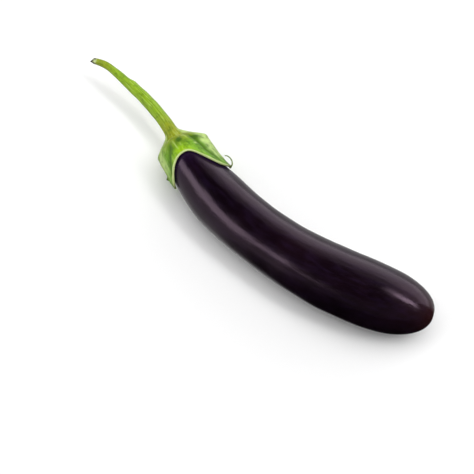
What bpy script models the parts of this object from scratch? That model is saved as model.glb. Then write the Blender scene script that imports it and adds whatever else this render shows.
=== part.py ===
# A long, slender eggplant as picked: one smooth fruit, the green calyx that caps its neck,
# and the stem up to its cut end. It lies on a narrow flat strip along its belly.
#
# Every solid is built along one spine. A station s on the spine is the distance from the neck
# end of the fruit: positive towards the blossom end, negative along the stem. An angle round
# the spine is measured from straight up towards the right-hand side, seen from the stem.

import math

import bmesh
import bpy
import numpy as np
from mathutils import Vector

MM = 0.001

# Spine: how the eggplant bends in the horizontal plane, +X from stem to blossom end
HEADING_AT_NECK = -23.4     # degrees from +X at the neck end of the fruit
FRUIT_BEND = 43.4           # degrees, spread evenly over the fruit
NECK_HOOK = 5.5             # degrees more, eased out along the neck
NECK_HOOK_LENGTH = 41 * MM
STEM_BEND = 30.2            # degrees the other way, spread over the stem
STEM_HOOK = 16.0            # degrees more, close to the cut end
STEM_HOOK_LENGTH = 13 * MM
STEM_RISE = 4 * MM          # the cut end lies this much higher than the neck
NECK_RISE = 1 * MM          # the tapering neck lifts off the surface by this much

# Fruit
FRUIT_LENGTH = 220 * MM
NECK_RADIUS = 20.1 * MM
BELLY_RADIUS = 22.3 * MM
SWELL_START = 92 * MM       # the fruit swells from neck to belly between these two stations
SWELL_END = 166 * MM
NECK_TAPER = 0.30           # share of its radius that the fruit loses towards the calyx
NECK_TAPER_LENGTH = 60 * MM
NECK_DOME_LENGTH = 16 * MM
NECK_DOME_POWER = 2.3       # 2 is an ellipse, more is blunter
BLOSSOM_DOME_LENGTH = 48.5 * MM
BLOSSOM_DOME_POWER = 2.25
REST_DEPTH = 0.5 * MM       # how deep the flat strip on the belly cuts into the fruit

# Stem
STEM_LENGTH = 94.8 * MM     # from the neck end of the fruit to the cut
STEM_BASE_RADIUS = 5.0 * MM
STEM_TIP_RADIUS = 1.7 * MM
STEM_TAPER_LINEAR = 0.46    # the rest of the taper is quadratic, so it thins most near the cut
CUT_ANGLE = 32.0            # degrees between the cut face and a square cut

# Calyx
CALYX_TOP = 8 * MM          # height of the calyx above the neck end, where the stem begins
SKIN = 1.3 * MM             # thickness of the calyx between its keels
FIT_GAP = 0.3 * MM          # clearance between calyx and fruit, and between stem and calyx
RIM_LIFT = 0.7 * MM         # the rim stands this much further off the fruit
RIM_LIFT_START = 0.70       # share of the way to the rim where it begins to lift
SINUS = 18.5 * MM           # station of the rim between two lobes
POINT_SHARE = 0.2           # share of the half lobe that its drawn-out point takes up
CREST_ROUNDING = 1.2 * MM   # how softly a keel turns at its shoulder
CREST_SHARPNESS = 1.35      # 1 gives flat flanks, more gives hollow ones
KEEL_FADE = 0.80            # share of the lobe's reach where its keel begins to die out

# Lobes of the calyx: angle of the keel and of the tip, station that the rounded lobe reaches,
# length of its drawn-out point, how full its sides are (1 is full, more is slimmer), station
# where the keel leaves the stem and its slope there, how far the keel stands beyond NECK_RADIUS
# at the shoulder and near the tip, and half the width of its foot in degrees
LOBES = [
    dict(keel=-68, tip=-62, reach=44 * MM, point=1.5 * MM, curve=1.5, start=-7.5 * MM, slope=1.03,
         shoulder=1.1 * MM, end=-0.1 * MM, foot=40),
    dict(keel=91, tip=90, reach=27 * MM, point=3 * MM, curve=1.3, start=-4.5 * MM, slope=1.20,
         shoulder=-2.1 * MM, end=-1.5 * MM, foot=42),
    dict(keel=163, tip=165, reach=29 * MM, point=3 * MM, curve=1.3, start=-5.0 * MM, slope=1.00,
         shoulder=-2.9 * MM, end=-1.5 * MM, foot=34),
    dict(keel=-134, tip=-135, reach=38 * MM, point=3 * MM, curve=1.4, start=-6.0 * MM, slope=1.05,
         shoulder=-1.9 * MM, end=-1.1 * MM, foot=34),
]

# The first lobe ends in a thin dry thread that hoops back over its keel
THREAD_RADIUS = 0.35 * MM
THREAD_ANGLE = -64
THREAD_INSET = 0.8 * MM     # the thread is rooted this far short of the lobe's rounded reach
THREAD_SPAN = 4.6 * MM      # half the hoop's length along the fruit
THREAD_HEIGHT = 3.8 * MM
THREAD_ROOT = -8.0          # the hoop's sweep in degrees: the root lies inside the lobe,
THREAD_TIP = 165.0          # and the loose end just over the keel

# Facets
FRUIT_SIDES = 40
CALYX_SIDES = 72
STEM_SIDES = 16
THREAD_SIDES = 6


def smooth(x):
    # 0 below 0, 1 above 1, and 3x^2 - 2x^3 between
    x = np.clip(x, 0.0, 1.0)
    return x * x * (3.0 - 2.0 * x)


def dome(u, power):
    # radius of a dome at u, which runs from 0 where it springs to 1 at its top
    u = np.clip(u, 0.0, 1.0)
    return (1.0 - u ** power) ** (1.0 / power)


def body_radius(s):
    # the fruit without its two ends
    swell = smooth((s - SWELL_START) / (SWELL_END - SWELL_START))
    return NECK_RADIUS + (BELLY_RADIUS - NECK_RADIUS) * swell


def fruit_radius(s):
    taper = 1.0 - NECK_TAPER * (1.0 - smooth(s / NECK_TAPER_LENGTH))
    neck = dome(1.0 - s / NECK_DOME_LENGTH, NECK_DOME_POWER)
    blossom_start = FRUIT_LENGTH - BLOSSOM_DOME_LENGTH
    blossom = dome((s - blossom_start) / BLOSSOM_DOME_LENGTH, BLOSSOM_DOME_POWER)
    return body_radius(s) * taper * neck * blossom


def stem_radius(s):
    w = np.clip(-s / STEM_LENGTH, 0.0, 1.0)
    taper = STEM_TAPER_LINEAR * w + (1.0 - STEM_TAPER_LINEAR) * w * w
    return STEM_BASE_RADIUS - (STEM_BASE_RADIUS - STEM_TIP_RADIUS) * taper


def heading(s):
    # direction of the spine in radians from +X
    along_stem = np.clip(-s / STEM_LENGTH, 0.0, None)
    hook = np.exp(-(STEM_LENGTH + np.minimum(s, 0.0)) / STEM_HOOK_LENGTH)
    stem_turn = STEM_BEND * along_stem + STEM_HOOK * hook
    along_fruit = np.clip(s / FRUIT_LENGTH, 0.0, None)
    neck_turn = NECK_HOOK * (1.0 - np.exp(-np.maximum(s, 0.0) / NECK_HOOK_LENGTH))
    fruit_turn = FRUIT_BEND * along_fruit + neck_turn
    return np.radians(HEADING_AT_NECK + np.where(s < 0.0, stem_turn, fruit_turn))


def spine(s):
    # points on the spine at stations s: the heading is integrated from the neck end
    fine = np.linspace(-STEM_LENGTH - 5 * MM, FRUIT_LENGTH, 3001)
    turn = heading(fine)
    step = fine[1] - fine[0]
    along = np.concatenate([[0.0], np.cumsum(np.cos(turn[1:]) + np.cos(turn[:-1])) * step / 2])
    aside = np.concatenate([[0.0], np.cumsum(np.sin(turn[1:]) + np.sin(turn[:-1])) * step / 2])
    x = np.interp(s, fine, along - np.interp(0.0, fine, along))
    y = np.interp(s, fine, aside - np.interp(0.0, fine, aside))
    rise = STEM_RISE * np.clip(-s / STEM_LENGTH, 0.0, None) ** 2
    rise = rise + NECK_RISE * (1.0 - smooth(s / NECK_TAPER_LENGTH))
    z = body_radius(s) - REST_DEPTH + rise
    return np.stack([x, y, z], axis=-1)


def around(s, angle, radius):
    # points at a distance from the spine, at stations s and angles in degrees
    s, angle, radius = np.broadcast_arrays(s, np.radians(angle), radius)
    turn = heading(s)
    right = np.stack([np.sin(turn), -np.cos(turn), np.zeros_like(turn)], axis=-1)
    outward = np.sin(angle)[..., None] * right
    outward[..., 2] += np.cos(angle)
    return spine(s) + radius[..., None] * outward


def angle_between(a, b):
    # from b to a in degrees, between -180 and 180
    return (np.asarray(a) - b + 180.0) % 360.0 - 180.0


def soft_min(a, b, rounding):
    # the smaller of a and b, rounded where they cross
    return 0.5 * (a + b - np.sqrt((a - b) ** 2 + rounding ** 2))


def offset_profile(s, distance):
    # the fruit's neck profile moved outwards by a distance, as a radius at each station s
    fine = NECK_TAPER_LENGTH * np.linspace(0.0, 1.0, 1500) ** 2
    radius = fruit_radius(fine)
    ds = np.gradient(fine)
    dr = np.gradient(radius)
    length = np.hypot(ds, dr)
    station = np.concatenate([[-distance], fine - distance * dr / length])
    moved = np.concatenate([[0.0], radius + distance * ds / length])
    return np.where(s < -distance, 0.0, np.interp(s, station, moved))


def rim_station(angle):
    # the calyx's edge: it swings from the sinus between two lobes out to each lobe's tip
    lobes = sorted(LOBES, key=lambda lobe: lobe["tip"] % 360)
    edge = np.full(np.shape(angle), SINUS)
    for i, lobe in enumerate(lobes):
        for neighbour in (lobes[i - 1], lobes[(i + 1) % len(lobes)]):
            half = angle_between(neighbour["tip"], lobe["tip"]) / 2.0
            share = angle_between(angle, lobe["tip"]) / half
            inside = (share >= 0.0) & (share < 1.0)
            share = np.clip(share, 0.0, 1.0)
            swing = (0.5 + 0.5 * np.cos(np.pi * share)) ** lobe["curve"]
            point = lobe["point"] * np.clip(1.0 - share / POINT_SHARE, 0.0, 1.0) ** 2
            edge = np.where(inside, SINUS + (lobe["reach"] - SINUS) * swing + point, edge)
    return edge


def keel_crest(lobe, s):
    # distance of the keel's crest from the spine: up from the stem, then along the fruit
    climb = STEM_BASE_RADIUS + lobe["slope"] * (s - lobe["start"])
    u = np.clip(s / lobe["reach"], 0.0, 1.0)
    along = NECK_RADIUS + lobe["shoulder"] + (lobe["end"] - lobe["shoulder"]) * u
    return soft_min(climb, along, CREST_ROUNDING)


def calyx_radius(s, angle):
    # a skin over the fruit that runs smoothly into the stem, with a keel along each lobe
    skin = offset_profile(s, FIT_GAP + SKIN)
    root = (stem_radius(s) ** 3 + skin ** 3) ** (1.0 / 3.0)
    radius = root
    for lobe in LOBES:
        height = np.maximum(keel_crest(lobe, s) - root, 0.0)
        fading = smooth((s / lobe["reach"] - KEEL_FADE) / (1.0 - KEEL_FADE))
        height = height * (1.0 - fading)
        share = np.abs(angle_between(angle, lobe["keel"])) / lobe["foot"]
        flank = np.clip(1.0 - share, 0.0, 1.0) ** CREST_SHARPNESS
        radius = np.maximum(radius, root + height * flank)
    return radius


def rim_lift(share):
    # extra clearance near the rim, where share runs from 0 at the stem to 1 at the rim
    return RIM_LIFT * smooth((share - RIM_LIFT_START) / (1.0 - RIM_LIFT_START))


def skin_rings(bm, rings, first_hub, last_hub):
    # a closed skin through rings of points, with each end fanned to a hub point
    loops = [[bm.verts.new(Vector(point)) for point in ring] for ring in rings]
    for lower, upper in zip(loops, loops[1:]):
        for i in range(len(lower)):
            j = (i + 1) % len(lower)
            bm.faces.new((lower[i], lower[j], upper[j], upper[i]))
    for loop, hub_point in ((loops[0], first_hub), (loops[-1], last_hub)):
        hub = bm.verts.new(Vector(hub_point))
        for a, b in zip(loop, loop[1:] + loop[:1]):
            bm.faces.new((a, b, hub))


def cut_flat(bm, point, normal):
    # cut away what lies beyond a plane, and close the cut with one flat face
    geometry = bm.verts[:] + bm.edges[:] + bm.faces[:]
    cut = bmesh.ops.bisect_plane(bm, geom=geometry, dist=1e-7, plane_co=point, plane_no=normal,
                                 clear_outer=True)
    edges = [item for item in cut["geom_cut"] if isinstance(item, bmesh.types.BMEdge)]
    bmesh.ops.holes_fill(bm, edges=edges, sides=0)


def finish(bm, name, colour, roughness, sharp_angle):
    # the mesh as an object with its own material, shaded smooth
    bmesh.ops.recalc_face_normals(bm, faces=bm.faces[:])
    bmesh.ops.triangulate(bm, faces=[face for face in bm.faces if len(face.verts) > 4])
    mesh = bpy.data.meshes.new(name)
    bm.to_mesh(mesh)
    bm.free()
    mesh.shade_smooth()
    mesh.set_sharp_from_angle(angle=math.radians(sharp_angle))
    material = bpy.data.materials.new(name)
    material.use_nodes = True
    shader = material.node_tree.nodes["Principled BSDF"]
    shader.inputs["Base Color"].default_value = (*colour, 1.0)
    shader.inputs["Roughness"].default_value = roughness
    shader.inputs["Metallic"].default_value = 0.0
    mesh.materials.append(material)
    part = bpy.data.objects.new(name, mesh)
    bpy.context.collection.objects.link(part)
    return part


def make_fruit():
    # rings close together in the two domes, evenly spaced between them
    rise = np.radians(np.linspace(0.0, 90.0, 8))[1:]
    neck = NECK_DOME_LENGTH * (1.0 - np.cos(rise))
    blossom_start = FRUIT_LENGTH - BLOSSOM_DOME_LENGTH
    middle = np.linspace(NECK_DOME_LENGTH, blossom_start, 26)[1:]
    fall = np.radians(np.linspace(0.0, 90.0, 13))[1:-1]
    blossom = blossom_start + BLOSSOM_DOME_LENGTH * np.sin(fall)
    stations = np.concatenate([neck, middle, blossom])
    angles = np.arange(FRUIT_SIDES) * 360.0 / FRUIT_SIDES
    bm = bmesh.new()
    rings = [around(s, angles, fruit_radius(s)) for s in stations]
    skin_rings(bm, rings, spine(0.0), spine(FRUIT_LENGTH))
    cut_flat(bm, Vector((0.0, 0.0, 0.0)), Vector((0.0, 0.0, -1.0)))
    return finish(bm, "fruit", (0.012, 0.005, 0.014), 0.22, 40)


def make_calyx():
    angles = np.arange(CALYX_SIDES) * 360.0 / CALYX_SIDES
    rim = rim_station(angles)
    outside = []
    for share in np.linspace(0.0, 1.0, 15):
        s = -CALYX_TOP + (rim + CALYX_TOP) * share
        lifted = calyx_radius(s, angles) + rim_lift(share)
        outside.append(around(s, angles, lifted))
    inside = []
    for share in np.linspace(1.0, 0.0, 17)[:-1] ** 2:
        s = -FIT_GAP + (rim + FIT_GAP) * share
        inside.append(around(s, angles, offset_profile(s, FIT_GAP) + rim_lift(share)))
    bm = bmesh.new()
    skin_rings(bm, outside + inside, spine(-CALYX_TOP), spine(-FIT_GAP))
    return finish(bm, "calyx", (0.20, 0.35, 0.03), 0.5, 35)


def make_thread():
    # a hoop in the plane of the spine and the keel, its first end rooted halfway through the lobe
    root = math.radians(THREAD_ROOT)
    root_station = LOBES[0]["reach"] - THREAD_INSET
    centre = root_station - THREAD_SPAN * math.cos(root)
    share = (root_station + CALYX_TOP) / (rim_station(THREAD_ANGLE) + CALYX_TOP)
    lobe_middle = offset_profile(root_station, FIT_GAP + SKIN / 2) + rim_lift(share)
    foot = lobe_middle - THREAD_HEIGHT * math.sin(root)
    sides = np.radians(np.arange(THREAD_SIDES) * 360.0 / THREAD_SIDES)
    outward = THREAD_RADIUS * np.cos(sides)
    rings = []
    for sweep in np.linspace(root, math.radians(THREAD_TIP), 13):
        s = centre + (THREAD_SPAN + outward) * math.cos(sweep)
        distance = foot + (THREAD_HEIGHT + outward) * math.sin(sweep)
        aside = np.degrees(THREAD_RADIUS * np.sin(sides) / distance)
        rings.append(around(s, THREAD_ANGLE + aside, distance))
    bm = bmesh.new()
    skin_rings(bm, rings, rings[0].mean(axis=0), rings[-1].mean(axis=0))
    thread = finish(bm, "thread_guide", (0.2, 0.2, 0.1), 0.7, 60)
    thread.hide_render = True
    thread.display_type = "WIRE"
    return thread


def make_stem():
    top = -CALYX_TOP - FIT_GAP
    beyond = STEM_TIP_RADIUS * math.tan(math.radians(CUT_ANGLE)) + 1 * MM
    stations = np.linspace(top, -STEM_LENGTH - beyond, 30)
    angles = np.arange(STEM_SIDES) * 360.0 / STEM_SIDES
    bm = bmesh.new()
    rings = [around(s, angles, stem_radius(s)) for s in stations]
    skin_rings(bm, rings, spine(stations[0]), spine(stations[-1]))
    turn = float(heading(-STEM_LENGTH)) + math.radians(CUT_ANGLE)
    cut_flat(bm, Vector(spine(-STEM_LENGTH)), Vector((-math.cos(turn), -math.sin(turn), 0.0)))
    return finish(bm, "stem", (0.27, 0.42, 0.04), 0.5, 50)


def box_of(parts):
    # lowest and highest corner of what the parts hold
    depsgraph = bpy.context.evaluated_depsgraph_get()
    corners = []
    for part in parts:
        shape = part.evaluated_get(depsgraph)
        corners += [part.matrix_world @ vert.co for vert in shape.data.vertices]
    lowest = Vector(min(corner[i] for corner in corners) for i in range(3))
    highest = Vector(max(corner[i] for corner in corners) for i in range(3))
    return lowest, highest


def main():
    for item in list(bpy.data.objects):
        bpy.data.objects.remove(item)
    fruit = make_fruit()
    calyx = make_calyx()
    stem = make_stem()
    union = calyx.modifiers.new("thread", "BOOLEAN")
    union.operation = "UNION"
    union.solver = "EXACT"
    thread = make_thread()
    union.object = thread
    # the origin is the middle of the whole eggplant, on the surface it lies on
    bpy.context.view_layer.update()
    lowest, highest = box_of([fruit, calyx, stem])
    middle = bpy.data.objects.new("eggplant", None)
    bpy.context.collection.objects.link(middle)
    for part in (fruit, calyx, stem, thread):
        part.parent = middle
    middle.location = (-(lowest.x + highest.x) / 2, -(lowest.y + highest.y) / 2, -lowest.z)


main()
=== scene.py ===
# A long, slender eggplant as picked, lying on a pale studio table: a glossy, nearly black purple
# fruit, the green calyx that caps its neck with keeled lobes, and a long ribbed stem.
#
# Every piece follows one spine. A station s is the distance along the spine from the neck end of
# the fruit, positive towards the blossom end and negative along the stem. An angle goes round the
# spine in degrees, from straight up towards the right-hand side, seen from the stem.

import bpy
import numpy as np
from mathutils import Matrix, Vector


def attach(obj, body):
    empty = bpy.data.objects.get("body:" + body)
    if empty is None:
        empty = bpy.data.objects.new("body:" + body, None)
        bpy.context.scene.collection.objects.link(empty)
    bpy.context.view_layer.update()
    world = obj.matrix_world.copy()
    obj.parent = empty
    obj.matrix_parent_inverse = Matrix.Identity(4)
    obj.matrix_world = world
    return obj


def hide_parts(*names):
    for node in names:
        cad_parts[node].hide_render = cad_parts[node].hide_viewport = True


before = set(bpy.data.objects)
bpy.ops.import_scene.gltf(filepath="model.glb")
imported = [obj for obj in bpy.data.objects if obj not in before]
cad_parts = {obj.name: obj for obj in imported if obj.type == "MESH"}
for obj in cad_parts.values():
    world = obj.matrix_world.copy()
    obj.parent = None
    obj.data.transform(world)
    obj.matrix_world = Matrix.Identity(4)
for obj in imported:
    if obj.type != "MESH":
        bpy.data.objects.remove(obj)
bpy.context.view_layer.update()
mm = 0.001
print("the packed model is loaded")


def smooth(x):
    # 0 below 0, 1 above 1, and 3x^2 - 2x^3 between
    x = np.clip(x, 0.0, 1.0)
    return x * x * (3.0 - 2.0 * x)


def dome(u, power):
    # radius of a dome at u, from 0 where it springs to 1 at its top
    u = np.clip(u, 0.0, 1.0)
    return (1.0 - u ** power) ** (1.0 / power)


def bell(x, width):
    # a bell curve, 1 at 0
    return np.exp(-(x / width) ** 2)


def softMax(a, b, width):
    # the larger of a and b, rounded where they cross
    return 0.5 * (a + b + np.sqrt((a - b) ** 2 + width ** 2))


def softMin(a, b, width):
    # the smaller of a and b, rounded likewise
    return -softMax(-a, -b, width)


def between(a, b):
    # from b to a in degrees, from -180 to 180
    return (np.asarray(a) - b + 180.0) % 360.0 - 180.0


def lumps(s, angle, wavelength, seed):
    # unevenness from about -1 to 1: a sum of waves, each with its own length along the spine near
    # the given one, and winding a whole number of times round it
    dice = np.random.default_rng(seed)
    total = 0.0
    for _ in range(7):
        length = wavelength * dice.uniform(0.6, 1.8)
        winds = dice.integers(-3, 4)
        phase = dice.uniform(0.0, 2.0 * np.pi)
        total = total + np.sin(2.0 * np.pi * s / length + winds * np.radians(angle) + phase)
    return total / 3.5


fruitForm = dict(
    length=220 * mm,
    neckRadius=20.1 * mm,
    bellyRadius=22.3 * mm,
    swellStart=92 * mm,       # the fruit swells from neck to belly between these two stations
    swellEnd=166 * mm,
    neckTaper=0.30,           # share of its radius that the fruit loses towards the calyx
    neckTaperLength=60 * mm,
    neckDome=16 * mm,         # length of the dome at each end, and how blunt it is: 2 is an ellipse
    neckPower=2.3,
    blossomDome=48.5 * mm,
    blossomPower=2.25,
    restDepth=0.5 * mm,       # the belly is pressed this flat where it lies on the table
    unevenness=0.28 * mm,     # slow swellings that make the long highlights wander:
    swellings=((70 * mm, 0.65, 3), (30 * mm, 0.35, 8)),  # wavelength, share and seed of each
    evenUntil=30 * mm,        # the neck stays even where the calyx hugs it
    scarRadius=2.3 * mm,      # where the flower dropped off
    scarDepth=0.6 * mm,
    neckRows=33,
    middleRows=191,
    blossomRows=76,
    columns=288,
)


def bodyRadius(s):
    # the neck's radius, swelling to the belly's between two stations
    f = fruitForm
    swell = smooth((s - f["swellStart"]) / (f["swellEnd"] - f["swellStart"]))
    return f["neckRadius"] + (f["bellyRadius"] - f["neckRadius"]) * swell


def fruitRadius(s):
    # the body, thinner at the neck, times a dome at each end
    f = fruitForm
    taper = 1.0 - f["neckTaper"] * (1.0 - smooth(s / f["neckTaperLength"]))
    neck = dome(1.0 - s / f["neckDome"], f["neckPower"])
    blossom = dome((s - f["length"] + f["blossomDome"]) / f["blossomDome"], f["blossomPower"])
    return bodyRadius(s) * taper * neck * blossom


spineForm = dict(
    neckPlace=(-60.56 * mm, 8.63 * mm),  # where station 0 lies, from the middle of the whole
    headingAtNeck=-23.4,      # degrees from +X
    fruitBend=43.4,           # degrees, spread evenly over the fruit
    neckHook=5.5,             # degrees more, eased out along the neck
    neckHookLength=41 * mm,
    stemBend=30.2,            # degrees the other way, spread over the stem
    stemHook=16.0,            # degrees more, close to the cut
    stemHookLength=13 * mm,
    tipHook=18.0,             # degrees more, in the last few millimetres
    tipHookLength=3 * mm,
    # where the stem wanders: station, how far it stands off to the right, and over what length
    sways=((-54 * mm, 1.3 * mm, 21 * mm), (-83 * mm, -0.85 * mm, 8 * mm)),
    stemRise=4 * mm,          # the cut lies this much higher than the neck
    neckRise=1 * mm,          # and the neck this much higher than the belly
)


def heading(s):
    # direction of the spine in radians from +X: bends spread evenly, plus hooks that die away
    p, length = spineForm, stemForm["length"]
    toTip = length + np.minimum(s, 0.0)
    hook = p["stemHook"] * np.exp(-toTip / p["stemHookLength"])
    hook = hook + p["tipHook"] * np.exp(-np.maximum(toTip, 0.0) / p["tipHookLength"])
    stemTurn = p["stemBend"] * np.clip(-s / length, 0.0, None) + hook
    neckTurn = p["neckHook"] * (1.0 - np.exp(-np.maximum(s, 0.0) / p["neckHookLength"]))
    fruitTurn = p["fruitBend"] * np.clip(s / fruitForm["length"], 0.0, None) + neckTurn
    return np.radians(p["headingAtNeck"] + np.where(s < 0.0, stemTurn, fruitTurn))


def spine(s):
    # points on the spine: the heading is integrated from the neck end, and the height follows
    # the body's radius, so that the belly lies along the table
    p = spineForm
    fine = np.linspace(-stemForm["length"] - 5 * mm, fruitForm["length"], 3001)
    turn = heading(fine)
    step = fine[1] - fine[0]
    along = np.concatenate([[0.0], np.cumsum(np.cos(turn[1:]) + np.cos(turn[:-1])) * step / 2])
    aside = np.concatenate([[0.0], np.cumsum(np.sin(turn[1:]) + np.sin(turn[:-1])) * step / 2])
    x = np.interp(s, fine, along - np.interp(0.0, fine, along)) + p["neckPlace"][0]
    y = np.interp(s, fine, aside - np.interp(0.0, fine, aside)) + p["neckPlace"][1]
    shift = sum(much * bell(s - at, reach) for at, much, reach in p["sways"])
    x, y = x + shift * np.sin(heading(s)), y - shift * np.cos(heading(s))
    rise = p["stemRise"] * np.clip(-s / stemForm["length"], 0.0, None) ** 2
    rise = rise + p["neckRise"] * (1.0 - smooth(s / fruitForm["neckTaperLength"]))
    return np.stack([x, y, bodyRadius(s) - fruitForm["restDepth"] + rise], axis=-1)


def around(s, angle, radius):
    # points at a distance from the spine, and the same points on a straightened spine
    s, angle, radius = np.broadcast_arrays(s, np.radians(angle), radius)
    turn = heading(s)
    right = np.stack([np.sin(turn), -np.cos(turn), np.zeros_like(turn)], axis=-1)
    outward = np.sin(angle)[..., None] * right
    outward[..., 2] += np.cos(angle)
    straight = np.stack([radius * np.sin(angle), radius * np.cos(angle), s], axis=-1)
    return spine(s) + radius[..., None] * outward, straight


def linear(colour):
    # an sRGB hex value as linear red, green, blue and alpha
    value = np.array([int(colour[i:i + 2], 16) for i in (1, 3, 5)]) / 255.0
    value = np.where(value <= 0.04045, value / 12.92, ((value + 0.055) / 1.055) ** 2.4)
    return (*value.tolist(), 1.0)


def add(tree, kind, feeds=None, **settings):
    # one node, with its settings and what feeds its sockets: a value or another node's output
    made = tree.nodes.new(kind)
    for name, value in settings.items():
        setattr(made, name, value)
    for socket, value in (feeds or {}).items():
        if isinstance(value, bpy.types.NodeSocket):
            tree.links.new(value, made.inputs[socket])
        else:
            made.inputs[socket].default_value = value
    return made


def newMaterial(name):
    # an empty Principled material: its node tree and its shader
    material = bpy.data.materials.new(name)
    material.use_nodes = True
    tree = material.node_tree
    return material, tree, tree.nodes["Principled BSDF"]


def blendColour(tree, share, first, second):
    # from the first colour to the second as share goes from 0 to 1
    mixed = add(tree, "ShaderNodeMix", {0: share, 6: first, 7: second}, data_type="RGBA")
    return mixed.outputs[2]


def makePiece(name, points, marks, material, nodes):
    # a closed skin over a grid of points, rows along the piece and columns round it: each end is
    # fanned to its middle, and each mark is a value at every point that the material reads
    rows, columns = points.shape[:2]
    hubs = [points[0].mean(axis=0), points[-1].mean(axis=0)]
    corner = np.arange(rows * columns).reshape(rows, columns)
    beside = np.roll(corner, -1, axis=1)
    quads = np.stack([corner[:-1], beside[:-1], beside[1:], corner[1:]], axis=-1).reshape(-1, 4)
    first, last = rows * columns, rows * columns + 1
    start = np.stack([np.full(columns, first), beside[0], corner[0]], axis=-1)
    finish = np.stack([np.full(columns, last), corner[-1], beside[-1]], axis=-1)
    faces = quads.tolist() + start.tolist() + finish.tolist()
    mesh = bpy.data.meshes.new(name)
    mesh.from_pydata(np.concatenate([points.reshape(-1, 3), hubs]).tolist(), [], faces)
    for mark, value in marks.items():
        kind = "FLOAT_VECTOR" if value.ndim == 3 else "FLOAT"
        atHubs = np.stack([value[0].mean(axis=0), value[-1].mean(axis=0)])
        flat = np.concatenate([value.reshape(rows * columns, -1), atHubs.reshape(2, -1)])
        layer = mesh.attributes.new(mark, kind, "POINT")
        layer.data.foreach_set("vector" if value.ndim == 3 else "value", flat.ravel())
    mesh.shade_smooth()
    mesh.set_sharp_from_angle(angle=np.radians(60.0))
    mesh.materials.append(material)
    mesh.validate()
    piece = bpy.data.objects.new(name, mesh)
    bpy.context.collection.objects.link(piece)
    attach(piece, "root")
    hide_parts(*nodes)
    print(name, "has", len(mesh.polygons), "faces")


calyxForm = dict(
    top=8 * mm,               # the calyx begins this far up the stem
    skin=1.3 * mm,            # its thickness between the keels
    fitGap=0.3 * mm,          # clearance to the fruit
    rimLift=0.7 * mm,         # the rim stands this much further off the fruit
    rimLiftStart=0.70,        # share of the way to the rim where it begins to lift
    sinus=18.6 * mm,          # station of the rim between two lobes
    pointShare=0.2,           # share of the half lobe that its drawn-out point takes up
    flare=1.7 * mm,           # the stem widens this much where it runs into the calyx,
    flareStation=-1.5 * mm,   # most of all here,
    flareLength=4.2 * mm,     # and over this length
    rootPower=2.5,            # how stem and cap flow into each other: more is sharper
    # the rounding at the foot of a keel, and how much more it is before the given station
    fillet=0.5 * mm,
    filletMore=1.1 * mm,
    filletUntil=8 * mm,
    crestRounding=1.2 * mm,   # how softly a keel turns at its shoulder
    crestSharpness=1.35,      # 1 gives flat flanks, more gives hollow ones
    crestBlunt=2.2,           # degrees that the crest is rounded over
    crestMark=4.0,            # degrees that its dark line, part browning and part painted shade, is wide
    keelFade=0.80,            # share of the lobe's reach where its keel begins to die out
    grooveDepth=0.6 * mm,
    grooveWidth=1.4 * mm,
    grooveStart=3 * mm,
    grooveRise=6 * mm,
    grooveEnd=0.85,           # share of the lobe's reach where a fold begins to die out
    grooveFall=0.10,
    unevenness=0.22 * mm,
    columns=320,
    rows=170,
    lipRows=11,
    innerRows=60,
)

# keel and tip: angles; reach, point, full, curve: outline of the lobe; start, slope: where the keel
# leaves the stem; shoulder, end: how far the keel stands beyond the neck's radius; foot: half its
# width in degrees; groove: how far from the keel the folds beside it lie, at the sinus and the tip
lobes = [
    dict(keel=-68, tip=-57, reach=43 * mm, point=0.5 * mm, full=1.35, curve=1.8, start=-8.4 * mm,
         slope=0.98, shoulder=1.1 * mm, end=-0.1 * mm, foot=40, groove=(34, 24)),
    dict(keel=91, tip=90, reach=28 * mm, point=2.5 * mm, full=1.0, curve=1.3, start=-7.2 * mm,
         slope=1.04, shoulder=-2.1 * mm, end=-1.5 * mm, foot=42, groove=(36, 18)),
    dict(keel=163, tip=165, reach=29 * mm, point=3 * mm, full=1.0, curve=1.3, start=-5.0 * mm,
         slope=1.00, shoulder=-2.9 * mm, end=-1.5 * mm, foot=34, groove=(32, 18)),
    dict(keel=-134, tip=-135, reach=38 * mm, point=3 * mm, full=1.0, curve=1.4, start=-6.0 * mm,
         slope=1.05, shoulder=-1.9 * mm, end=-1.1 * mm, foot=34, groove=(32, 22)),
]


def rimStation(angle):
    # the calyx's edge: it swings from the sinus between two lobes out to each lobe's tip
    c = calyxForm
    inOrder = sorted(lobes, key=lambda lobe: lobe["tip"] % 360)
    edge = np.full(np.shape(angle), c["sinus"])
    for i, lobe in enumerate(inOrder):
        for neighbour in (inOrder[i - 1], inOrder[(i + 1) % len(inOrder)]):
            half = between(neighbour["tip"], lobe["tip"]) / 2.0
            share = between(angle, lobe["tip"]) / half
            inside = (share >= 0.0) & (share < 1.0)
            share = np.clip(share, 0.0, 1.0)
            swing = (0.5 + 0.5 * np.cos(np.pi * share ** lobe["full"])) ** lobe["curve"]
            point = lobe["point"] * np.clip(1.0 - share / c["pointShare"], 0.0, 1.0) ** 2
            edge = np.where(inside, c["sinus"] + (lobe["reach"] - c["sinus"]) * swing + point, edge)
    return edge


skinLook = dict(
    dark="#0a0309",
    reddish="#160811",
    violet="#35204f",          # young skin just clear of the calyx, which has seen less sun
    sheen="#ffdcf8",           # the wax reflects slightly purple
    blossomBrown="#3f1d1a",
    scar="#6b4a35",
    waveSize=5.0 * mm,         # shallow dimples that break up the edges of the highlights
    waveDepth=0.22 * mm,
    grainSize=0.9 * mm,        # the finest texture of the wax, drawn coarse enough to show
    grainDepth=0.03 * mm,
    youngShare=0.35,
    youngReach=5 * mm,         # how far from the calyx the young skin goes
    blossomShare=0.6,
    blossomReach=6 * mm,
    scarShare=0.9,
)


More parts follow.
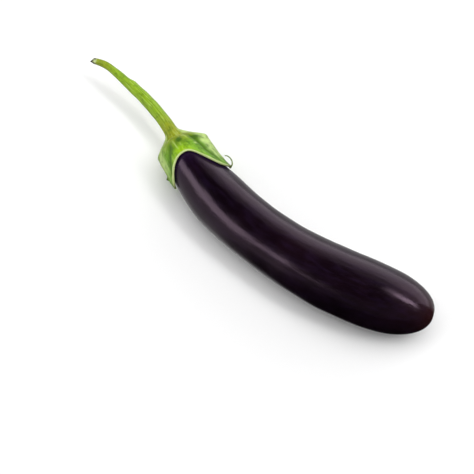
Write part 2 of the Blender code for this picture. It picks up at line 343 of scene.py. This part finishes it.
def makeSkinMaterial():
    # waxed skin of a ripe eggplant: nearly black purple flesh colour under a clear, smooth cuticle,
    # which gives broad soft highlights with a sharper core
    look = skinLook
    material, tree, shader = newMaterial("waxyEggplantSkin")
    straight = add(tree, "ShaderNodeAttribute", attribute_name="straight").outputs["Vector"]
    drawnOut = add(tree, "ShaderNodeMapping", {"Vector": straight, "Scale": (1.0, 1.0, 0.22)})
    patches = add(tree, "ShaderNodeTexNoise",
                  {"Vector": straight, "Scale": 1 / (35 * mm), "Detail": 3.0, "Roughness": 0.55})
    streaks = add(tree, "ShaderNodeTexNoise",
                  {"Vector": drawnOut.outputs[0], "Scale": 1 / (2.5 * mm), "Detail": 4.0})
    warm = add(tree, "ShaderNodeMapRange",
               {"Value": patches.outputs["Fac"], "From Min": 0.35, "From Max": 0.70})
    fine = add(tree, "ShaderNodeMapRange",
               {"Value": streaks.outputs["Fac"], "From Min": 0.45, "From Max": 0.80,
                "To Max": 0.12})
    colour = blendColour(tree, warm.outputs[0], linear(look["dark"]), linear(look["reddish"]))
    colour = blendColour(tree, fine.outputs[0], colour, linear(look["violet"]))
    for mark, tint in (("young", "violet"), ("blossom", "blossomBrown"), ("scar", "scar")):
        share = add(tree, "ShaderNodeAttribute", attribute_name=mark).outputs["Fac"]
        colour = blendColour(tree, share, colour, linear(look[tint]))
    waves = add(tree, "ShaderNodeTexNoise",
                {"Vector": drawnOut.outputs[0], "Scale": 1 / look["waveSize"], "Detail": 2.0})
    grain = add(tree, "ShaderNodeTexNoise",
                {"Vector": straight, "Scale": 1 / look["grainSize"], "Detail": 2.0})
    wavy = add(tree, "ShaderNodeBump",
               {"Height": waves.outputs["Fac"], "Distance": look["waveDepth"], "Strength": 1.0})
    grained = add(tree, "ShaderNodeBump",
                  {"Height": grain.outputs["Fac"], "Distance": look["grainDepth"],
                   "Strength": 1.0, "Normal": wavy.outputs[0]})
    rough = add(tree, "ShaderNodeMapRange",
                {"Value": streaks.outputs["Fac"], "From Min": 0.3, "From Max": 0.8,
                 "To Min": 0.20, "To Max": 0.27})
    tree.links.new(colour, shader.inputs["Base Color"])
    tree.links.new(rough.outputs[0], shader.inputs["Roughness"])
    tree.links.new(grained.outputs[0], shader.inputs["Normal"])
    shader.inputs["IOR"].default_value = 1.45
    shader.inputs["Specular Tint"].default_value = linear(look["sheen"])
    return material


def makeFruit():
    # rings round the spine: the lathe profile plus slow unevenness, pressed flat on the table, with
    # a small pit where the flower dropped off
    f, look = fruitForm, skinLook
    rise = np.radians(np.linspace(0.0, 90.0, f["neckRows"]))[1:]
    neck = f["neckDome"] * (1.0 - np.cos(rise))
    middle = np.linspace(f["neckDome"], f["length"] - f["blossomDome"], f["middleRows"])[1:]
    fall = np.radians(np.linspace(0.0, 90.0, f["blossomRows"]))[1:-1]
    blossom = f["length"] - f["blossomDome"] * (1.0 - np.sin(fall))
    s = np.concatenate([neck, middle, blossom])[:, None]
    angle = (np.arange(f["columns"]) * 360.0 / f["columns"])[None, :]
    radius = fruitRadius(s)
    free = smooth((s - f["evenUntil"]) / (30 * mm)) * radius / f["bellyRadius"]
    uneven = sum(share * lumps(s, angle, wave, seed) for wave, share, seed in f["swellings"])
    radius = radius + f["unevenness"] * free * uneven
    onBlossomHalf = smooth((s - 100 * mm) / (10 * mm))
    pit = np.exp(-(radius / f["scarRadius"]) ** 4) * onBlossomHalf
    points, straight = around(s - f["scarDepth"] * pit, angle, radius)
    pressed = softMax(points[..., 2], 0.0, 0.12 * mm) - 0.03 * mm  # flat below, with a soft edge
    points[..., 2] = np.maximum(pressed, 0.0)
    level = 0 * angle
    pastRim = np.clip(s - rimStation(angle), 0.0, None)
    toBlossom = np.clip(f["length"] - s, 0.0, None)
    marks = dict(
        straight=straight,
        young=look["youngShare"] * np.exp(-pastRim / look["youngReach"]) + level,
        blossom=look["blossomShare"] * np.exp(-toBlossom / look["blossomReach"]) + level,
        scar=look["scarShare"] * pit + level,
    )
    makePiece("fruitPiece", points, marks, makeSkinMaterial(), ["fruit"])


def offsetProfile(s, distance):
    # the fruit's neck profile moved outwards by a distance, as a radius at each station
    fine = fruitForm["neckTaperLength"] * np.linspace(0.0, 1.0, 1500) ** 2
    radius = fruitRadius(fine)
    ds, dr = np.gradient(fine), np.gradient(radius)
    length = np.hypot(ds, dr)
    station = np.concatenate([[-distance], fine - distance * dr / length])
    moved = np.concatenate([[0.0], radius + distance * ds / length])
    return np.where(s < -distance, 0.0, np.interp(s, station, moved))


stemForm = dict(
    length=94.8 * mm,
    baseRadius=4.7 * mm,
    tipRadius=2.05 * mm,
    taperLinear=0.38,         # share of the taper that is even; the rest comes towards the cut
    cutStation=-92.8 * mm,
    nub=1.2 * mm,             # a dry shred stands out at the far side of the cut,
    nubAngle=170,             # this far round from where the cut faces,
    nubWidth=24,              # and this wide
    cutAngle=42.0,            # the cut slants by this much
    cutFacing=28.0,           # and looks up towards this angle
    ribHeight=0.42 * mm,      # the main ribs run on from the keels of the calyx
    ribWidth=17.0,            # degrees
    ribTwist=24.0,            # degrees that the ribs wind from calyx to cut
    fineRibHeight=0.07 * mm,
    fineRibs=17,
    bulgeStation=-58 * mm,    # one side swells here, and thins abruptly towards the cut
    bulgeHeight=1.0 * mm,
    bulgeAngle=-75,
    bulgeWidth=62.0,
    bulgeLengths=(23 * mm, 3 * mm),  # how it dies away towards the calyx and towards the cut
    unevenness=0.12 * mm,
    cutDish=0.5 * mm,         # the cut face is hollow by this much
    cutUnevenness=0.1 * mm,
    root=1.5 * mm,            # the stem goes on this far inside the calyx, out of sight
    # withered spots round the cut: angle from where it faces, width and share
    burns=((172, 46, 1.6), (-84, 34, 1.2), (84, 36, 1.2)),
    burnDepth=1.3 * mm,
    paintedShadeSides=((-80, 26, 0.45), (104, 22, 0.35)),  # painted shade down the stem's two sides: angle, width and share
    rows=250,
)


def stemRadius(s, angle):
    # a taper with ribs that run on from the keels, finer ribs between them, and one bulge
    f = stemForm
    w = np.clip(-s / f["length"], 0.0, 1.0)
    taper = f["taperLinear"] * w + (1.0 - f["taperLinear"]) * w * w
    radius = f["baseRadius"] - (f["baseRadius"] - f["tipRadius"]) * taper
    wound = angle + f["ribTwist"] * w
    ribs = sum(bell(between(wound, lobe["keel"]), f["ribWidth"]) for lobe in lobes) - 0.25
    height = f["ribHeight"] * (1.0 - 0.72 * w)
    fine = np.cos(np.radians(wound) * f["fineRibs"]) + 0.5 * np.cos(np.radians(wound) * 9 + 1.0)
    past = s - f["bulgeStation"]
    side = bell(between(angle, f["bulgeAngle"]), f["bulgeWidth"])
    towardsCalyx, towardsCut = f["bulgeLengths"]
    reach = np.where(past > 0.0, bell(past, towardsCalyx), bell(past, towardsCut))
    return (radius + height * ribs + f["fineRibHeight"] * (1.0 - 0.5 * w) * fine
            + f["bulgeHeight"] * side * reach + f["unevenness"] * lumps(s, angle, 16 * mm, 21))


def keelCrest(lobe, s):
    # distance of the keel's crest from the spine: up from the stem, then along the fruit
    climb = stemForm["baseRadius"] + lobe["slope"] * (s - lobe["start"])
    u = np.clip(s / lobe["reach"], 0.0, 1.0)
    along = fruitForm["neckRadius"] + lobe["shoulder"] + (lobe["end"] - lobe["shoulder"]) * u
    return softMin(climb, along, calyxForm["crestRounding"])


def grooveAngle(lobe, side, s):
    # where the fold beside a keel lies: it draws in towards the keel from sinus to tip
    u = np.clip((s - calyxForm["sinus"]) / (lobe["reach"] - calyxForm["sinus"]), -1.0, 1.2)
    offset = lobe["groove"][0] + (lobe["groove"][1] - lobe["groove"][0]) * u
    return lobe["keel"] + side * offset


def greenSurface(s, angle):
    # the outer surface from stem to rim: stem and skin over the fruit as one smooth root, plus a
    # keel along each lobe, less the folds; with marks for the crest's dark line, partly browning
    # and partly painted shade, for the painted shade in the folds, and for keel flanks painted
    # paler as lit
    c = calyxForm
    power = c["rootPower"]
    skin = offsetProfile(s, c["fitGap"] + c["skin"])
    stalk = stemRadius(s, angle) + c["flare"] * bell(s - c["flareStation"], c["flareLength"])
    root = (stalk ** power + skin ** power) ** (1.0 / power)
    fillet = c["fillet"] + c["filletMore"] * (1.0 - smooth(s / c["filletUntil"]))
    radius = root
    crest, paintedLitFlankMark = 0.0, 0.0
    for lobe in lobes:
        height = softMax(keelCrest(lobe, s) - root, 0.0, fillet) - 0.1 * mm
        fading = 1.0 - smooth((s / lobe["reach"] - c["keelFade"]) / (1.0 - c["keelFade"]))
        height = np.maximum(height, 0.0) * fading
        turned = between(angle, lobe["keel"])
        share = (np.sqrt(turned ** 2 + c["crestBlunt"] ** 2) - c["crestBlunt"]) / lobe["foot"]
        flank = np.clip(1.0 - share, 0.0, 1.0) ** c["crestSharpness"]
        radius = np.maximum(radius, root + height * flank)
        tall = smooth(height / (1.5 * mm))
        # the crest's dark line: partly browning, partly painted shade
        crest = np.maximum(crest, bell(turned, c["crestMark"]) * tall)
        # the keels' outer faces are painted paler, as lit
        paintedLitFlankMark = np.maximum(paintedLitFlankMark, smooth(2.2 * (0.8 - share)) * tall)
    fold, foldShade = 0.0, 0.0
    for lobe in lobes:
        starts = smooth((s - c["grooveStart"]) / c["grooveRise"])
        stops = smooth((s / lobe["reach"] - c["grooveEnd"]) / c["grooveFall"])
        for side in (-1, 1):
            away = np.radians(between(angle, grooveAngle(lobe, side, s))) * radius
            runs = starts * (1.0 - stops)
            fold = np.maximum(fold, bell(away, c["grooveWidth"]) * runs)
            # the painted shade along each fold, wider than the groove itself
            foldShade = np.maximum(foldShade, bell(away, 1.5 * c["grooveWidth"]) * runs)
    over = smooth((s + c["top"]) / (10 * mm))
    uneven = 0.5 * lumps(s, angle, 14 * mm, 5) + 0.5 * lumps(s * 1.7, angle * 3.0, 9 * mm, 6)
    radius = radius - c["grooveDepth"] * fold * over + c["unevenness"] * uneven * over
    return radius, crest, foldShade * over, paintedLitFlankMark


greenLook = dict(
    leaf="#6a9c1e",
    lime="#98bf14",
    olive="#8b9418",
    deep="#3f6206",            # dark green of the mottle and veins, and painted shade in folds and hollows
    paintedLitFlank="#b3c97c",       # painted light: the outer faces of the keels, paler and greyer as where they catch the light
    paleVeinAndHighlight="#bcd478",
    crest="#87924c",           # corky, slightly browned ridges, their line partly painted shade
    rim="#cfdc9a",
    dry="#1b180a",             # withered tips
    veinSize=1.9 * mm,         # measured 12 mm from the spine, and finer along the stem
    veinDepth=0.30 * mm,
    mottleSize=3.6 * mm,
    mottleDepth=0.3 * mm,
)


def makeGreenMaterial(name):
    # living green calyx and stem: soft, faintly translucent tissue with a satin surface, fine veins
    # that run with the growth, paler veins and edges, corky ridges slightly browned and partly
    # painted darker as shade, painted shade in the folds, pale spots painted as highlights, and the
    # keels' outer faces painted paler as lit
    look = greenLook
    material, tree, shader = newMaterial(name)
    straight = add(tree, "ShaderNodeAttribute", attribute_name="straight").outputs["Vector"]
    grown = add(tree, "ShaderNodeAttribute", attribute_name="grown").outputs["Vector"]
    drawnOut = add(tree, "ShaderNodeMapping", {"Vector": grown, "Scale": (1.0, 1.0, 0.13)})
    veins = add(tree, "ShaderNodeTexNoise",
                {"Vector": drawnOut.outputs[0], "Scale": 1 / look["veinSize"], "Detail": 3.0,
                 "Roughness": 0.6})
    mottle = add(tree, "ShaderNodeTexNoise",
                 {"Vector": straight, "Scale": 1 / look["mottleSize"], "Detail": 4.0,
                  "Roughness": 0.6})
    warm = add(tree, "ShaderNodeAttribute", attribute_name="warm").outputs["Fac"]
    colour = blendColour(tree, warm, linear(look["leaf"]), linear(look["lime"]))
    olive = add(tree, "ShaderNodeAttribute", attribute_name="olive").outputs["Fac"]
    colour = blendColour(tree, olive, colour, linear(look["olive"]))
    flank = add(tree, "ShaderNodeAttribute", attribute_name="flank").outputs["Fac"]
    colour = blendColour(tree, flank, colour, linear(look["paintedLitFlank"]))
    blotch = add(tree, "ShaderNodeMapRange",
                 {"Value": mottle.outputs["Fac"], "From Min": 0.50, "From Max": 0.74,
                  "To Max": 0.8})
    colour = blendColour(tree, blotch.outputs[0], colour, linear(look["deep"]))
    dark = add(tree, "ShaderNodeMapRange",
               {"Value": veins.outputs["Fac"], "From Min": 0.46, "From Max": 0.28,
                "To Max": 0.75})
    colour = blendColour(tree, dark.outputs[0], colour, linear(look["deep"]))
    pale = add(tree, "ShaderNodeMapRange",
               {"Value": veins.outputs["Fac"], "From Min": 0.54, "From Max": 0.76,
                "To Max": 0.8})
    colour = blendColour(tree, pale.outputs[0], colour, linear(look["paleVeinAndHighlight"]))
    # the fold mark is painted shade, the painted highlight mark is pale spots of light, and the
    # crest mark is partly painted shade
    for mark, tint in (("fold", "deep"), ("paintedHighlight", "paleVeinAndHighlight"), ("crest", "crest"), ("rim", "rim"),
                       ("dry", "dry")):
        share = add(tree, "ShaderNodeAttribute", attribute_name=mark).outputs["Fac"]
        colour = blendColour(tree, share, colour, linear(look[tint]))
    raised = add(tree, "ShaderNodeBump",
                 {"Height": veins.outputs["Fac"], "Distance": look["veinDepth"], "Strength": 1.0})
    mottled = add(tree, "ShaderNodeBump",
                  {"Height": mottle.outputs["Fac"], "Distance": look["mottleDepth"],
                   "Strength": 1.0, "Normal": raised.outputs[0]})
    tree.links.new(colour, shader.inputs["Base Color"])
    tree.links.new(mottled.outputs[0], shader.inputs["Normal"])
    shader.inputs["Roughness"].default_value = 0.5
    shader.inputs["IOR"].default_value = 1.42
    shader.inputs["Specular IOR Level"].default_value = 0.35
    shader.inputs["Subsurface Weight"].default_value = 0.12
    shader.inputs["Subsurface Radius"].default_value = (0.6, 1.0, 0.2)
    shader.inputs["Subsurface Scale"].default_value = 1.0 * mm
    return material


def alongGrowth(s, angle, radius, seamRow):
    # coordinates for the veins: round a spine of constant radius, and the distance along the
    # surface from the row where stem and calyx join, so that veins run on from one to the other
    path = np.cumsum(np.hypot(np.gradient(s, axis=0), np.gradient(radius, axis=0)), axis=0)
    path, angle = np.broadcast_arrays(path - path[seamRow], np.radians(angle))
    return np.stack([12 * mm * np.sin(angle), 12 * mm * np.cos(angle), path], axis=-1)


def oliveShare(s, angle):
    # the green turns to olive near the calyx and near the cut, and less so on the calyx's flanks
    nearCalyx = smooth((s + 30 * mm) / (22 * mm))
    nearCut = smooth((-70 * mm - s) / (18 * mm))
    onCap = smooth((s - 1 * mm) / (15 * mm))
    offTheStem = smooth((s + 3 * mm) / (9 * mm))
    side = 0.45 + 0.55 * bell(between(angle, -8), 42)
    share = (0.30 + 0.70 * nearCalyx + 0.6 * nearCut) * (1.0 - onCap)
    return share * (1.0 + (side - 1.0) * offTheStem)


def spots(s, angle, places):
    # round spots on the calyx: each has a station, an angle, a size, and a share in its middle
    arm = 16 * mm  # an angle counts as a distance this far from the spine
    return sum(share * bell(s - station, size) * bell(np.radians(between(angle, at)) * arm, size)
               for station, at, size, share in places)


calyxMarks = dict(
    # station, angle, size and share of each spot; the dark ones are painted in the folds' shade
    # colour, and the one at -39 degrees is painted shade where a fold begins
    darkSpotsAndShade=((7 * mm, 6, 2.6 * mm, 1.4), (9.5 * mm, -39, 2.0 * mm, 1.0),
            (3 * mm, -22, 1.6 * mm, 0.6), (12 * mm, 30, 1.8 * mm, 0.5)),
    # pale spots painted on as highlights
    paintedHighlights=((15.4 * mm, -25, 1.0 * mm, 0.9), (15 * mm, -46, 1.4 * mm, 1.0)),
    # a dark patch near the longest tip: station, angle, length, width in degrees, share
    patch=(38 * mm, -68, 5 * mm, 9, 1.1),
    # a withered knob close to the rim: station, length, angle, width, height
    knob=(21.4 * mm, 1.1 * mm, 96, 1.2 * mm, 1.5 * mm),
    rimWidth=0.5 * mm,         # the pale edge
    rimUnevenness=0.22 * mm,
    warmReach=7 * mm,          # the yellower green above the sinus: how far from the rim,
    warmAngle=15,              # where,
    warmWidth=27,              # and over how many degrees
    tipWidth=9.0,              # degrees of each lobe's tip that are withered
    tipReach=1.6 * mm,
    longTipWidth=16,           # and of the longest one's
    longTipReach=3.0 * mm,
)


def makeCalyx(material):
    # outer rows from stem to rim, a rounded rim, then inner rows back up to the neck of the fruit
    c, look = calyxForm, calyxMarks
    angle = (np.arange(c["columns"]) * 360.0 / c["columns"])[None, :]
    rim = rimStation(angle) + look["rimUnevenness"] * lumps(0.0, angle * 3.0, 1.0, 12)
    share = np.linspace(0.0, 1.0, c["rows"])[:, None]
    s = -c["top"] + (rim + c["top"]) * share
    lift = c["rimLift"] * smooth((share - c["rimLiftStart"]) / (1.0 - c["rimLiftStart"]))
    radius, crest, fold, flank = greenSurface(s, angle)
    station, length, at, width, height = look["knob"]
    knob = bell(s - station, length) * bell(np.radians(between(angle, at)) * 18 * mm, width)
    radius = radius + lift + height * knob
    # the inner side, from the rim to the neck's middle, closer rows towards the neck
    inner = np.linspace(1.0, 0.0, c["innerRows"])[:-1, None] ** 2
    inStation = -c["fitGap"] + (rim + c["fitGap"]) * inner
    inLift = c["rimLift"] * smooth((inner - c["rimLiftStart"]) / (1.0 - c["rimLiftStart"]))
    inRadius = offsetProfile(inStation, c["fitGap"]) + inLift
    # the rim between them is half an ellipse
    half = 0.5 * (radius[-1:] - inRadius[:1])
    sweep = np.radians(np.linspace(0.0, 180.0, c["lipRows"]))[1:-1, None]
    lipRadius = inRadius[:1] + half + half * np.cos(sweep)
    lipStation = rim + 0.7 * half * np.sin(sweep)
    allStations = np.concatenate([s, lipStation, inStation + 0 * angle])
    allRadii = np.concatenate([radius, lipRadius, inRadius])
    points, straight = around(allStations, angle, allRadii)
    # distance from the rim, measured square to it
    arc = np.radians(360.0 / c["columns"]) * fruitForm["neckRadius"]
    slope = (np.roll(rim, -1, axis=1) - np.roll(rim, 1, axis=1)) / (2.0 * arc)
    toRim = rim - s
    fromRim = toRim / np.sqrt(1.0 + slope ** 2)
    rimMark = bell(fromRim, look["rimWidth"])
    tips = sum(bell(between(angle, lobe["tip"]), look["tipWidth"]) for lobe in lobes)
    longTip = bell(between(angle, lobes[0]["tip"]), look["longTipWidth"])
    dry = 0.8 * tips * np.exp(-toRim / look["tipReach"]) + 0.9 * knob
    dry = np.clip(np.maximum(dry, 0.55 * longTip * bell(toRim, look["longTipReach"])), 0.0, 1.0)
    warm = bell(fromRim, look["warmReach"]) * bell(between(angle, look["warmAngle"]),
                                                   look["warmWidth"])
    station, at, length, width, much = look["patch"]
    # dark spots, added to the folds' painted shade
    darkSpotAndShade = spots(s, angle, look["darkSpotsAndShade"])
    darkSpotAndShade = darkSpotAndShade + much * bell(s - station, length) * bell(between(angle, at), width)
    # painted highlights in the pale vein colour
    paintedHighlight = np.clip(spots(s, angle, look["paintedHighlights"]), 0, 1)
    lip = np.ones_like(lipStation)
    inside = np.ones_like(inStation)
    marks = dict(
        straight=straight,
        grown=alongGrowth(allStations, angle, allRadii, 0),
        crest=np.concatenate([0.7 * crest, 0 * lip, 0 * inside]),
        fold=np.concatenate([np.clip(0.85 * fold + darkSpotAndShade, 0, 1), 0 * lip, 0 * inside]),
        paintedHighlight=np.concatenate([0.8 * paintedHighlight, 0 * lip, 0 * inside]),
        flank=np.concatenate([0.85 * flank, 0 * lip, 0 * inside]),
        warm=np.concatenate([warm, warm[-1:] * lip, 0 * inside]),
        olive=np.concatenate([oliveShare(s, angle), 0 * lip, 0 * inside]),
        rim=np.concatenate([0.8 * rimMark, 0.85 * lip, 0.4 * inside]),
        dry=np.concatenate([dry, dry[-1:] * lip, 0 * inside]),
    )
    makePiece("calyxPiece", points, marks, material, ["calyx"])


def makeStem(material):
    # rows from the calyx to the oblique cut, then rings inwards over the cut face
    f, top = stemForm, calyxForm["top"]
    angle = (np.arange(calyxForm["columns"]) * 360.0 / calyxForm["columns"])[None, :]
    share = np.linspace(0.0, 1.0, f["rows"])[::-1, None]
    tipReach = f["tipRadius"] * np.tan(np.radians(f["cutAngle"]))
    end = f["cutStation"] + tipReach * np.cos(np.radians(angle - f["cutFacing"]))
    end = end - f["nub"] * bell(between(angle, f["cutFacing"] + f["nubAngle"]), f["nubWidth"])
    s = -top + (end + top) * share
    s = np.concatenate([s, np.full_like(s[-1:], f["root"] - top)])
    radius, crest, fold, flank = greenSurface(np.minimum(s, -top), angle)
    radius[-1] -= 0.5 * mm    # the root lies under the calyx's skin
    # rings on the cut face, as shares of the way from its middle to its edge
    inward = np.array([0.08, 0.25, 0.5, 0.72, 0.86, 0.94, 0.985])[:, None]
    dish = f["cutDish"] * (1.0 - inward ** 2)
    uneven = f["cutUnevenness"] * inward * lumps(0, angle, 1.0, 4)
    faceStation = f["cutStation"] + (end - f["cutStation"]) * inward + dish + uneven
    facePoints, faceStraight = around(faceStation, angle, radius[:1] * inward)
    points, straight = around(s, angle, radius)
    fromCut = s - end
    rim = bell(fromCut, 0.5 * mm)
    burn = sum(bell(between(angle, f["cutFacing"] + at), width) * much
               for at, width, much in f["burns"])
    dry = np.clip(burn * bell(fromCut, f["burnDepth"]), 0.0, 1.0)
    # painted shade down both sides of the stem, added to the fold mark
    shade = sum(much * bell(between(angle, at), width) for at, width, much in f["paintedShadeSides"])
    shade = shade * smooth((-12 * mm - s) / (12 * mm)) * smooth(fromCut / (16 * mm))
    level = 0 * faceStation
    marks = dict(
        straight=np.concatenate([faceStraight, straight]),
        grown=alongGrowth(np.concatenate([faceStation, s]), angle,
                          np.concatenate([radius[:1] * inward, radius]), -2),
        paintedHighlight=np.concatenate([level, 0 * s]),
        crest=np.concatenate([level, 0.7 * crest]),
        fold=np.concatenate([level, np.clip(fold + shade, 0, 1)]),
        flank=np.concatenate([level, 0.85 * flank]),
        warm=np.concatenate([level, 0.55 + 0 * s]),
        olive=np.concatenate([level, oliveShare(s, angle)]),
        rim=np.concatenate([level + 1, 0.7 * rim]),
        dry=np.concatenate([np.clip(burn, 0, 1) * smooth((inward - 0.30) / 0.4), dry]),
    )
    makePiece("stemPiece", np.concatenate([facePoints, points]), marks, material,
              ["stem"])


threadForm = dict(
    turns=(-27.0, 157.0),     # the hoop's sweep in degrees, from its root to its loose end
    span=5.2 * mm,            # half its length along the fruit
    height=2.9 * mm,
    bedding=0.95 * mm,        # the root's distance from the fruit's skin, measured square to it,
    lift=0.25 * mm,           # and from there straight out
    lean=-62.4,               # the angle round the spine that it stands at,
    leanSway=0.8,             # give or take this much
    # radius at the root, how much of it is lost towards the loose end, and what the root has more
    radius=0.48 * mm,
    thinning=0.10 * mm,
    rootMore=0.9 * mm,
    rootLength=0.09,          # as a share of the hoop
    waviness=0.04 * mm,
    rows=90,
    sides=16,
)


def makeThread(material):
    # a thin tube along a hoop over the first lobe's keel, thicker where it is rooted in the tip
    f = threadForm
    start = lobes[0]["reach"]
    turn = np.radians(np.linspace(*f["turns"], f["rows"]))[:, None]
    # the sides go round backwards, so that the faces point outwards
    side = -np.radians(np.arange(f["sides"]) * 360.0 / f["sides"])[None, :]
    grown = np.linspace(0.0, 1.0, f["rows"])[:, None]
    thick = (f["radius"] - f["thinning"] * grown + f["rootMore"] * np.exp(-grown / f["rootLength"])
             + f["waviness"] * np.sin(26.0 * grown))
    outward = thick * np.cos(side)
    s = start - f["span"] * np.cos(turn[0]) + (f["span"] + outward) * np.cos(turn)
    foot = offsetProfile(np.array([start]), f["bedding"]) + f["lift"]
    foot = foot - f["height"] * np.sin(turn[0])
    distance = foot + (f["height"] + outward) * np.sin(turn)
    lean = f["lean"] + f["leanSway"] * np.sin(5.0 * grown)
    points, straight = around(s, lean + np.degrees(thick * np.sin(side) / distance), distance)
    level = 0 * s
    marks = dict(straight=straight, grown=straight, crest=level + 0.4, fold=level + 0.3,
                 paintedHighlight=level, flank=level + 0.3, warm=level, olive=level + 0.3, rim=level,
                 dry=np.clip(0.70 - 1.5 * grown, 0.30, 1.0) + level)
    makePiece("threadPiece", points, marks, material, ["calyx"])


makeFruit()
calyxGreen = makeGreenMaterial("fleshyCalyxTissue")
makeCalyx(calyxGreen)
makeStem(makeGreenMaterial("ribbedStemTissue"))
makeThread(calyxGreen)


stageForm = dict(
    floorSize=2.3,
    floorColour="#efefef",
    floorGlow=0.9,            # the far table is lit as if by lamps of its own:
    glowFrom=0.35,            # none at this distance from the middle,
    glowFull=1.10,            # and all of it at this one
    backdrop="#f6f6f6",       # what stands behind the table
    roomHorizon="#d8d8d8",    # what the gloss reflects
    roomTop="#161617",
    roomBelow="#c8c8c8",
    darkSide=(0.80, -0.45, -0.35),  # the room is unlit towards this side
    darkAbove="#5a5a5c",
    darkBelow="#0a0a0a",
    panels=[
        # places in metres, the direction of the long side, sizes along and across it, and watts:
        # the front ones give the fruit's left highlight, the back ones its broad right one, and
        # the tip ones the short bright one near the blossom end
        dict(name="frontPanel", place=(-0.67, -0.72, 0.56), across=(0.73, -0.68, 0.0),
             size=(0.98, 0.46), power=4.6),
        dict(name="backPanel", place=(0.10, 0.98, 0.36), across=(1, 0, 0), size=(1.9, 0.66),
             power=6.2),
        dict(name="backPanelUpper", place=(0.10, 0.84, 0.78), across=(1, 0, 0), size=(1.9, 0.28),
             power=1.7),
        dict(name="backPanelTop", place=(0.10, 0.62, 1.02), across=(1, 0, 0), size=(1.9, 0.30),
             power=0.8),
        dict(name="tipPanel", place=(0.72, 0.30, 1.12), across=(1, 0, 0), size=(1.2, 0.28),
             power=2.6),
        dict(name="tipSpark", place=(0.76, 0.28, 1.08), across=(1, 0, 0), size=(0.55, 0.14),
             power=2.1),
        dict(name="frontEdge", place=(-0.08, -0.99, 0.54), across=(1, 0, 0), size=(0.34, 0.05),
             power=0.17),
    ],
    overhead=dict(name="overhead", place=(0.0, 0.0, 1.6), across=(1, 0, 0), size=(1.8, 1.8),
                  power=24.0),
    lightsLookAt=(0.0, 0.0, 0.02),
    cameraAt=(0.2498, -0.2848, 0.6789),
    cameraLooksAt=(0.0130, -0.0123, 0.0),
    lens=85,
)


def makeFloor():
    # a square of plain card that glows slightly far from the middle, so that it doesn't fall dark
    f = stageForm
    half = f["floorSize"] / 2
    corners = [(-half, -half, 0.0), (half, -half, 0.0), (half, half, 0.0), (-half, half, 0.0)]
    mesh = bpy.data.meshes.new("floor")
    mesh.from_pydata(corners, [], [(0, 1, 2, 3)])
    material, tree, shader = newMaterial("matteStudioPaper")  # plain unglazed card, no sheen
    place = add(tree, "ShaderNodeTexCoord").outputs["Object"]
    fromMiddle = add(tree, "ShaderNodeVectorMath", {0: place}, operation="LENGTH")
    glow = add(tree, "ShaderNodeMapRange",
               {"Value": fromMiddle.outputs["Value"], "From Min": f["glowFrom"],
                "From Max": f["glowFull"], "To Max": f["floorGlow"]})
    tree.links.new(glow.outputs[0], shader.inputs["Emission Strength"])
    shader.inputs["Emission Color"].default_value = linear(f["floorColour"])
    shader.inputs["Base Color"].default_value = linear(f["floorColour"])
    shader.inputs["Roughness"].default_value = 0.95
    shader.inputs["Specular IOR Level"].default_value = 0.1
    mesh.materials.append(material)
    floor = bpy.data.objects.new("floor", mesh)
    bpy.context.collection.objects.link(floor)
    floor.visible_glossy = False


def makeLights():
    # soft panels that all face the object
    f = stageForm
    for panel in [*f["panels"], f["overhead"]]:
        light = bpy.data.lights.new(panel["name"], "AREA")
        light.shape = "RECTANGLE"
        light.size, light.size_y = panel["size"]
        light.energy = panel["power"]
        lamp = bpy.data.objects.new(panel["name"], light)
        lamp.location = panel["place"]
        facing = (Vector(f["lightsLookAt"]) - lamp.location).normalized()
        across = Vector(panel["across"])
        across = (across - across.dot(facing) * facing).normalized()
        turned = Matrix((across, across.cross(facing), -facing)).transposed()
        lamp.rotation_euler = turned.to_euler()
        lamp.visible_camera = False
        lamp.visible_glossy = panel is not f["overhead"]  # it lights the table and adds no gloss
        bpy.context.collection.objects.link(lamp)


def makeRoom():
    # what the gloss reflects: pale near the horizon and below it, dim overhead and towards the
    # unlit side
    f = stageForm
    world = bpy.data.worlds.new("studio")
    bpy.context.scene.world = world
    world.use_nodes = True
    tree = world.node_tree
    direction = add(tree, "ShaderNodeTexCoord").outputs["Generated"]
    height = add(tree, "ShaderNodeSeparateXYZ", {0: direction}).outputs["Z"]
    side = add(tree, "ShaderNodeVectorMath", {0: direction, 1: f["darkSide"]},
               operation="DOT_PRODUCT").outputs["Value"]
    overhead, unlit, above = [
        add(tree, "ShaderNodeMapRange", {"Value": value, "From Min": low, "From Max": high},
            interpolation_type="SMOOTHSTEP").outputs[0]
        for value, low, high in ((height, 0.05, 0.35), (side, 0.16, 0.32), (height, -0.04, 0.04))]
    upper = blendColour(tree, overhead, linear(f["roomHorizon"]), linear(f["roomTop"]))
    upper = blendColour(tree, unlit, upper, linear(f["darkAbove"]))
    lower = blendColour(tree, unlit, linear(f["roomBelow"]), linear(f["darkBelow"]))
    colour = blendColour(tree, above, lower, upper)
    # what stands behind the table is plain and pale, and doesn't show in the gloss
    seen = add(tree, "ShaderNodeLightPath").outputs["Is Camera Ray"]
    colour = blendColour(tree, seen, colour, linear(f["backdrop"]))
    tree.links.new(colour, tree.nodes["Background"].inputs["Color"])
    bpy.context.scene.view_settings.view_transform = "Standard"


def makeCamera():
    # a long lens, so that the lines hardly converge
    f = stageForm
    data = bpy.data.cameras.new("camera")
    data.lens = f["lens"]
    camera = bpy.data.objects.new("camera", data)
    camera.location = f["cameraAt"]
    towards = Vector(f["cameraLooksAt"]) - Vector(f["cameraAt"])
    camera.rotation_euler = towards.to_track_quat("-Z", "Y").to_euler()
    bpy.context.collection.objects.link(camera)
    bpy.context.scene.camera = camera


makeFloor()
makeLights()
makeRoom()
makeCamera()
print("table, light and camera are set")
